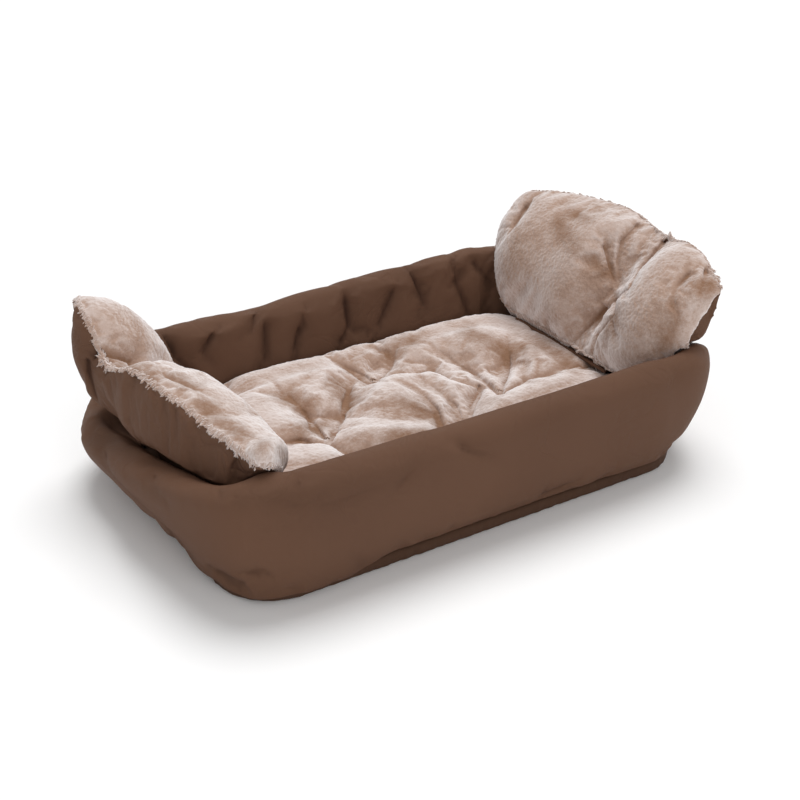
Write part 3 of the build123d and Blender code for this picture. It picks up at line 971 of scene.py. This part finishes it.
def build_walls(tub, stage):
    """The four padded walls, made as one ring of fabric and cut at the panel seams."""
    names = ("front_wall", "back_wall", "left_end_wall", "right_end_wall")
    nodes = [f"{name}_{part}" for name in names for part in ("cover", "fill")]
    ring = skin("tub_ring", nodes, tub.mesh_size)
    tree = surface_tree(ring.data)
    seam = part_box("front_wall_cover")[1].x
    folds = photo_lines(stage, tree, BACK_WALL_FOLDS) + wall_folds(seam)
    creases = photo_lines(stage, tree, FRONT_WALL_FOLDS)
    hems = photo_lines(stage, tree, LEFT_WALL_FOLDS)
    press_lines(ring, folds, tub.fold_depth, width=0.014, fade=0.5, lean=0.4)
    press_lines(ring, creases, tub.fold_depth * 0.4, width=0.011, lean=0.5, mark=0.4)
    press_lines(ring, hems, tub.fold_depth * 0.5, width=0.009, fade=0.2, mark=0.4)
    points = mesh_points(ring.data)
    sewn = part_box("floor_lining")[1].z + SEWN_HEIGHT
    held = (points[:, 2] < sewn) | near_lines(points, folds, reach=0.006)
    inflate(ring, held, tub.pressure, tub.growth, tub.cap)
    moves = settle_walls(ring, tub)
    folds, creases, hems = (carried(lines, *moves) for lines in (folds, creases, hems))
    hang_fabric(ring)
    mark_hollows(ring, rounds=14, full=0.006, kept=0.4)
    centres = face_centres(ring.data)
    middle = np.abs(centres[:, 0]) < seam
    masks = {
        "front_wall": middle & (centres[:, 1] < 0), "back_wall": middle & (centres[:, 1] > 0),
        "left_end_wall": ~middle & (centres[:, 0] < 0), "right_end_wall": ~middle & (centres[:, 0] > 0)}
    for name, mask in masks.items():
        wall = cut_out(ring, name, mask)
        finer(wall, 2)
        press_lines(wall, folds, tub.fold_depth * 0.7, width=0.0038, fade=0.5, lean=0.5)
        press_lines(wall, creases, depth=0.0018, width=0.0028, lean=0.4, mark=0.3)
        press_lines(wall, hems, depth=0.003, width=0.003, fade=0.2, mark=0.4)
        dress(wall, "tub", tub_nylon(tub), (f"{name}_cover", f"{name}_fill"))
    bpy.data.objects.remove(ring)


def carried(lines, before, after):
    """Lines of points, moved as the nearest points of a surface moved."""
    tree = KDTree(len(before))
    for number, point in enumerate(before):
        tree.insert(point, number)
    tree.balance()
    moved = []
    for line in lines:
        numbers = [tree.find(point)[1] for point in line]
        moved.append(line + after[numbers] - before[numbers])
    return moved


def settle_walls(ring, tub):
    """Lifts the end walls under the pillows, raises the back wall's far end and leans the right end
    out. Gives the points before and after."""
    before = mesh_points(ring.data)
    points = before.copy()
    lift = np.zeros(len(points))
    for side, outward in (("left", -1), ("right", 1)):
        pillow = surface_tree(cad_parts[f"{side}_pillow_backing"].data)
        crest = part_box(f"{side}_end_wall_cover")[1].z
        upper = (points[:, 0] * outward > END_WALL_START) & (points[:, 2] > crest * 0.45)
        for number in np.flatnonzero(upper):
            hit = pillow.ray_cast(Vector(points[number]), Vector((0, 0, 1)), WALL_REACH)
            if hit[0] is not None:
                lift[number] = min(hit[3] * 0.5, tub.settle)
    points[:, 2] += relax(np.column_stack([lift] * 3), mesh_edges(ring.data), 6)[:, 0]
    back = smooth_step(points[:, 1], *RISE_BACK) * smooth_step(points[:, 0], *RISE_ACROSS)
    points[:, 2] += tub.settle * back * smooth_step(points[:, 2], *RISE_UP)
    right = smooth_step(points[:, 0], *LEAN_ACROSS) * smooth_step(points[:, 2], *LEAN_UP)
    points[:, 0] += tub.settle * 0.8 * right
    set_points(ring.data, points)
    return before, points


def hang_fabric(ring):
    """Lets the outer fabric hang to the floor round the front left corner, its lower band drawn down to a
    small gap above the floor.
    """
    points = mesh_points(ring.data)
    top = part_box("floor_lining")[1].z
    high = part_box("base_underside")[1]
    beyond = np.abs(points[:, :2]) - (high.x, high.y)
    inside = np.max(beyond + HANG_INSET, axis=1)
    corner = np.hypot(*np.maximum(beyond + HANG_CORNER, 0).T)
    outer = smooth_step(np.maximum(inside, corner - HANG_CORNER + HANG_CORNER_INSET), 0.0, HANG_FADE)
    left = smooth_step(-points[:, 0], *HANG_LEFT) * smooth_step(-points[:, 1], *HANG_FRONT)
    near_foot = 1 - smooth_step(points[:, 2], top, top + HANG_HEIGHT)
    points[:, 2] -= outer * left * near_foot * (top - HANG_GAP)
    set_points(ring.data, points)


def tuft_places():
    """Where the four CAD ties lie, seen from above."""
    low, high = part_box("tuft_ties")
    middle = (low + high) / 2
    half = TIE_WIDTH / 2
    return [
        (low.x + half, middle.y), (high.x - half, middle.y),
        (middle.x, low.y + half), (middle.x, high.y - half)]


def sunk_lines(lines, obj):
    """Lines of points, put on the nearest places of a surface."""
    tree = surface_tree(obj.data)
    return [np.array([tree.find_nearest(Vector(point))[0] for point in line]) for line in lines]


def build_mattress(liner, stage, tub):
    """The tufted mattress: plush above its side seam, nylon below."""
    body = skin("mattress_skin", ("mattress_plush", "mattress_backing", "mattress_fill"), liner.mesh_size)
    mesh = body.data
    points = mesh_points(mesh)
    # The CAD bowls round the ties are evened out, as the tufts seen in the photograph are creases
    even = relax(points, mesh_edges(mesh), rounds=70)
    away = np.full(len(points), 1e9)
    for across, along in tuft_places():
        away = np.minimum(away, np.hypot(points[:, 0] - across, points[:, 1] - along))
    share = 1 - smooth_step(away, *TUFT_BOWL)
    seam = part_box("mattress_backing")[1].z
    share *= points[:, 2] > seam + 0.01
    set_points(mesh, points + (even - points) * share[:, None])
    tree = surface_tree(mesh)
    valleys = photo_lines(stage, tree, MATTRESS_VALLEYS)
    patches = photo_lines(stage, tree, MATTRESS_PATCHES)
    press_lines(body, valleys, liner.valley_depth, width=0.017, fade=0.55, lean=0.3)
    points = mesh_points(mesh)
    held = (points[:, 2] < seam + 0.004) | near_lines(points, valleys, reach=0.011)
    inflate(body, held, liner.pressure, liner.growth, liner.cap)
    mark_hollows(body, rounds=16, full=0.007, kept=0.3)
    mark_patches(body, patches, width=0.023)
    plush = face_centres(mesh)[:, 2] > seam
    even_seam(mesh, plush)
    top = cut_out(body, "mattress_top", plush)
    underside = cut_out(body, "mattress_underside", ~plush)
    bpy.data.objects.remove(body)
    finer(top, 2)
    finer(underside)
    press_lines(top, sunk_lines(valleys, top), depth=0.005, width=0.0036, fade=0.7, lean=0.4)
    fluff(top, liner.pile_rough, pitch=0.005, seed=2.0)
    shown = ("mattress_plush", "mattress_fill")
    dress(top, "mattress", plush_material(liner), shown)
    dress(underside, "mattress", tub_nylon(tub), ("mattress_backing",))


def build_pillow(side, valley_pixels, patch_pixels, liner, stage, tub):
    """A creased pillow: plush inside and nylon outside, with pile lying over the seam."""
    nodes = [f"{side}_pillow_{part}" for part in ("plush", "backing", "back_fill", "front_fill")]
    body = skin(f"{side}_pillow_skin", nodes, liner.mesh_size * 0.85)
    mesh = body.data
    tree = surface_tree(mesh)
    valleys = photo_lines(stage, tree, valley_pixels)
    patches = photo_lines(stage, tree, patch_pixels)
    press_lines(body, valleys, liner.valley_depth * 0.5, width=0.012, fade=0.6, lean=0.3)
    plush = nearest_is(mesh, nodes[0], nodes[1])
    edges = even_seam(mesh, plush)
    points = mesh_points(mesh)
    held = near_lines(points, valleys, reach=0.007)
    held[edges.ravel()] = True
    inflate(body, held, liner.pressure * 0.8, liner.growth, liner.cap * 0.7)
    sink_on_wall(body, f"{side}_end_wall", tub)
    mark_hollows(body, rounds=12, full=0.005, kept=0.4)
    mark_patches(body, patches, width=0.018)
    points = mesh_points(mesh)
    normals = mesh_normals(mesh)
    edges, ways = seam_edges(mesh, plush)
    front = cut_out(body, f"{side}_pillow_front", plush)
    back = cut_out(body, f"{side}_pillow_back", ~plush)
    bpy.data.objects.remove(body)
    creased = near_lines(points, valleys, CREASE_REACH)
    build_seam_pile(side, points, normals, edges, ways, front, creased, liner)
    finer(front, 2)
    finer(back, 2)
    press_lines(front, sunk_lines(valleys, front), depth=0.004, width=0.0036, fade=0.6, lean=0.4)
    press_lines(back, sunk_lines(valleys, back), depth=0.003, width=0.003, fade=0.3, lean=0.4)
    fluff(front, liner.pile_rough, pitch=0.005, seed=4.0)
    name = f"{side}_pillow"
    dress(front, name, plush_material(liner), (nodes[0], *nodes[2:]))
    dress(back, name, tub_nylon(tub), (nodes[1],))


def sink_on_wall(body, wall, tub):
    """Lets a pillow sag onto the end wall below it, down to a small gap."""
    points = mesh_points(body.data)
    below = surface_tree(bpy.data.objects[wall].data)
    drop = np.zeros(len(points))
    for number in np.flatnonzero(mesh_normals(body.data)[:, 2] < 0.1):
        hit = below.ray_cast(Vector(points[number]), Vector((0, 0, -1)), WALL_REACH)
        if hit[0] is not None:
            drop[number] = max(0, min((hit[3] - WALL_GAP) * 0.8, tub.settle * 1.3))
    smooth = relax(np.column_stack([drop] * 3), mesh_edges(body.data), 10)[:, 0]
    points[:, 2] -= np.minimum(smooth, np.where(drop > 0, drop, smooth))
    set_points(body.data, points)


def build_seam_pile(side, points, normals, edges, ways, front, creased, liner):
    """The ragged pile that lies from the plush over the seam with the nylon. It is longer and denser
    at the foot and where creases meet the seam."""
    draw = random.Random(liner.seed + len(side))
    plush = surface_tree(front.data)
    low_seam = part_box(f"{side}_hinge_strip")[1].z + 0.012
    starts = []
    heads = []
    for (first, second), way in zip(edges, ways):
        outward = normals[first] + normals[second]
        outward /= max(np.linalg.norm(outward), 1e-9)
        foot = max(points[first][2], points[second][2]) < low_seam
        long, lean = FOOT_PILE if foot else CREASE_PILE if creased[first] else PLAIN_PILE
        for _ in range(DENSE_PILE_COUNT if foot or creased[first] else PILE_COUNT):
            share = draw.random()
            inset = draw.uniform(*PILE_INSET)
            spot = points[first] * (1 - share) + points[second] * share + np.array(way) * inset
            starts.append(np.array(plush.find_nearest(Vector(spot))[0]) - outward * PILE_ROOT)
            heads.append((outward * lean - np.array(way)) * long)
    pile = pile_strands(f"{side}_pillow_pile", starts, heads, liner.pile_length, liner.seed)
    dress(pile, f"{side}_pillow", plush_material(liner))


def build_strips(tub):
    """The nylon strips that join each pillow to the mattress end."""
    for side in ("left", "right"):
        node = f"{side}_hinge_strip"
        strip = skin(f"{side}_strip", (node,), STRIP_MESH, rounds=1)
        points = mesh_points(strip.data)
        waves = noise_at(points * (0.4, 1, 1), STRIP_WAVE_PITCH, offset=7.0) * STRIP_WAVE
        set_points(strip.data, points + mesh_normals(strip.data) * waves[:, None])
        dress(strip, "mattress", tub_nylon(tub), (node,))


def build_ties(liner, stage):
    """The crossed stitches at the bottom of each tuft, where its creases meet."""
    top = surface_tree(bpy.data.objects["mattress_top"].data)
    bm = bmesh.new()
    upward = Vector((0, 0, 1))
    for across, along, level in photo_lines(stage, top, TUFTS)[0]:
        for turn in (pi / 4, 3 * pi / 4):
            heading = Vector((cos(turn), sin(turn), 0))
            side = heading.cross(upward)
            rings = []
            for number in range(9):
                share = number / 4 - 1
                centre = Vector((across, along, level - 0.001 + STITCH_RISE * (1 - share * share)))
                centre += heading * share * STITCH_HALF
                rings.append([
                    bm.verts.new(centre + (side * cos(angle) + upward * sin(angle)) * THREAD_RADIUS)
                    for angle in (k * pi / 3 for k in range(6))])
            join_rings(bm, rings)
    bmesh.ops.recalc_face_normals(bm, faces=bm.faces)
    stitches = new_object("tuft_stitches", bm)
    dress(stitches, "mattress", thread_material(liner), ("tuft_ties",))


def build_stage(stage):
    """Camera, lamps, white floor and white sky."""
    scene = bpy.context.scene
    forward = camera_axes(stage)[2]
    data = bpy.data.cameras.new("Camera")
    data.sensor_width = SENSOR_WIDTH
    data.lens = stage.lens
    camera = bpy.data.objects.new("Camera", data)
    camera.location = stage.place
    camera.rotation_euler = forward.to_track_quat("-Z", "Y").to_euler()
    scene.collection.objects.link(camera)
    scene.camera = camera
    lamps = (
        ("Key", stage.key, radians(35), (0.3, 0.3, 1.0)),
        ("Fill", stage.fill, radians(60), (-0.2, -1.0, 0.5)))
    for name, strength, spread, place in lamps:
        lamp = bpy.data.lights.new(name, "SUN")
        lamp.energy = strength
        lamp.angle = spread
        holder = bpy.data.objects.new(name, lamp)
        holder.rotation_euler = (-Vector(place)).to_track_quat("-Z", "Y").to_euler()
        scene.collection.objects.link(holder)
    world = bpy.data.worlds.new("Sky")
    world.use_nodes = True
    scene.world = world
    tree = world.node_tree
    path = add_node(tree, "ShaderNodeLightPath")
    seen = math_node(tree, "MAXIMUM", path.outputs["Is Camera Ray"], path.outputs["Is Glossy Ray"])
    shown = math_node(tree, "MAXIMUM", seen, path.outputs["Is Transmission Ray"])
    strength = math_node(tree, "MULTIPLY_ADD", shown, 1.0 - stage.sky, stage.sky)
    set_inputs(tree, tree.nodes["Background"], {"Color": (1.0, 1.0, 1.0, 1.0), "Strength": strength})
    bpy.ops.mesh.primitive_grid_add(x_subdivisions=2, y_subdivisions=2, size=30.0)
    floor = bpy.context.object
    floor.name = "studio_floor"
    floor.data.materials.append(floor_material())
    scene.view_settings.view_transform = "Standard"


class DOGBED_OT_stage(bpy.types.Operator):
    """Adds the camera, lamps and floor"""

    bl_idname = "dogbed.stage"
    bl_label = "Add Stage"

    def execute(self, context):
        build_stage(context.scene.dogbed_stage)
        return {"FINISHED"}


class DOGBED_OT_base(bpy.types.Operator):
    """Adds the flat padded base"""

    bl_idname = "dogbed.base"
    bl_label = "Add Base"

    def execute(self, context):
        build_base(context.scene.dogbed_tub)
        return {"FINISHED"}


class DOGBED_OT_walls(bpy.types.Operator):
    """Adds the four padded walls"""

    bl_idname = "dogbed.walls"
    bl_label = "Add Walls"

    def execute(self, context):
        build_walls(context.scene.dogbed_tub, context.scene.dogbed_stage)
        return {"FINISHED"}


class DOGBED_OT_mattress(bpy.types.Operator):
    """Adds the tufted mattress with its stitches"""

    bl_idname = "dogbed.mattress"
    bl_label = "Add Mattress"

    def execute(self, context):
        scene = context.scene
        build_mattress(scene.dogbed_liner, scene.dogbed_stage, scene.dogbed_tub)
        build_ties(scene.dogbed_liner, scene.dogbed_stage)
        return {"FINISHED"}


class DOGBED_OT_pillows(bpy.types.Operator):
    """Adds both plush pillows"""

    bl_idname = "dogbed.pillows"
    bl_label = "Add Pillows"

    def execute(self, context):
        scene = context.scene
        for side, valleys, patches in (
                ("left", LEFT_PILLOW_VALLEYS, LEFT_PILLOW_PATCHES),
                ("right", RIGHT_PILLOW_VALLEYS, RIGHT_PILLOW_PATCHES)):
            build_pillow(
                side, valleys, patches, scene.dogbed_liner, scene.dogbed_stage, scene.dogbed_tub)
        return {"FINISHED"}


class DOGBED_OT_strips(bpy.types.Operator):
    """Adds the strips that join the pillows to the mattress"""

    bl_idname = "dogbed.strips"
    bl_label = "Add Strips"

    def execute(self, context):
        build_strips(context.scene.dogbed_tub)
        return {"FINISHED"}


class DOGBED_PT_sidebar(bpy.types.Panel):
    """Lists the pieces of the bed"""

    bl_label = "Dog Bed"
    bl_idname = "DOGBED_PT_sidebar"
    bl_space_type = "VIEW_3D"
    bl_region_type = "UI"
    bl_category = "Dog Bed"

    def draw(self, context):
        scene = context.scene
        for settings in (scene.dogbed_tub, scene.dogbed_liner, scene.dogbed_stage):
            for name in settings.__annotations__:
                self.layout.prop(settings, name)
        for operator in OPERATORS:
            self.layout.operator(operator.bl_idname)


OPERATORS = (
    DOGBED_OT_stage, DOGBED_OT_base, DOGBED_OT_walls, DOGBED_OT_mattress, DOGBED_OT_pillows,
    DOGBED_OT_strips)
CLASSES = (TubSettings, LinerSettings, StageSettings, *OPERATORS, DOGBED_PT_sidebar)


def register():
    for item in CLASSES:
        bpy.utils.register_class(item)
    bpy.types.Scene.dogbed_tub = PointerProperty(type=TubSettings)
    bpy.types.Scene.dogbed_liner = PointerProperty(type=LinerSettings)
    bpy.types.Scene.dogbed_stage = PointerProperty(type=StageSettings)


def unregister():
    del bpy.types.Scene.dogbed_stage
    del bpy.types.Scene.dogbed_liner
    del bpy.types.Scene.dogbed_tub
    for item in reversed(CLASSES):
        bpy.utils.unregister_class(item)


def main():
    register()
    bpy.ops.dogbed.stage()
    bpy.ops.dogbed.base()
    bpy.ops.dogbed.walls()
    bpy.ops.dogbed.mattress()
    bpy.ops.dogbed.pillows()
    bpy.ops.dogbed.strips()


if __name__ == "__main__":
    main()
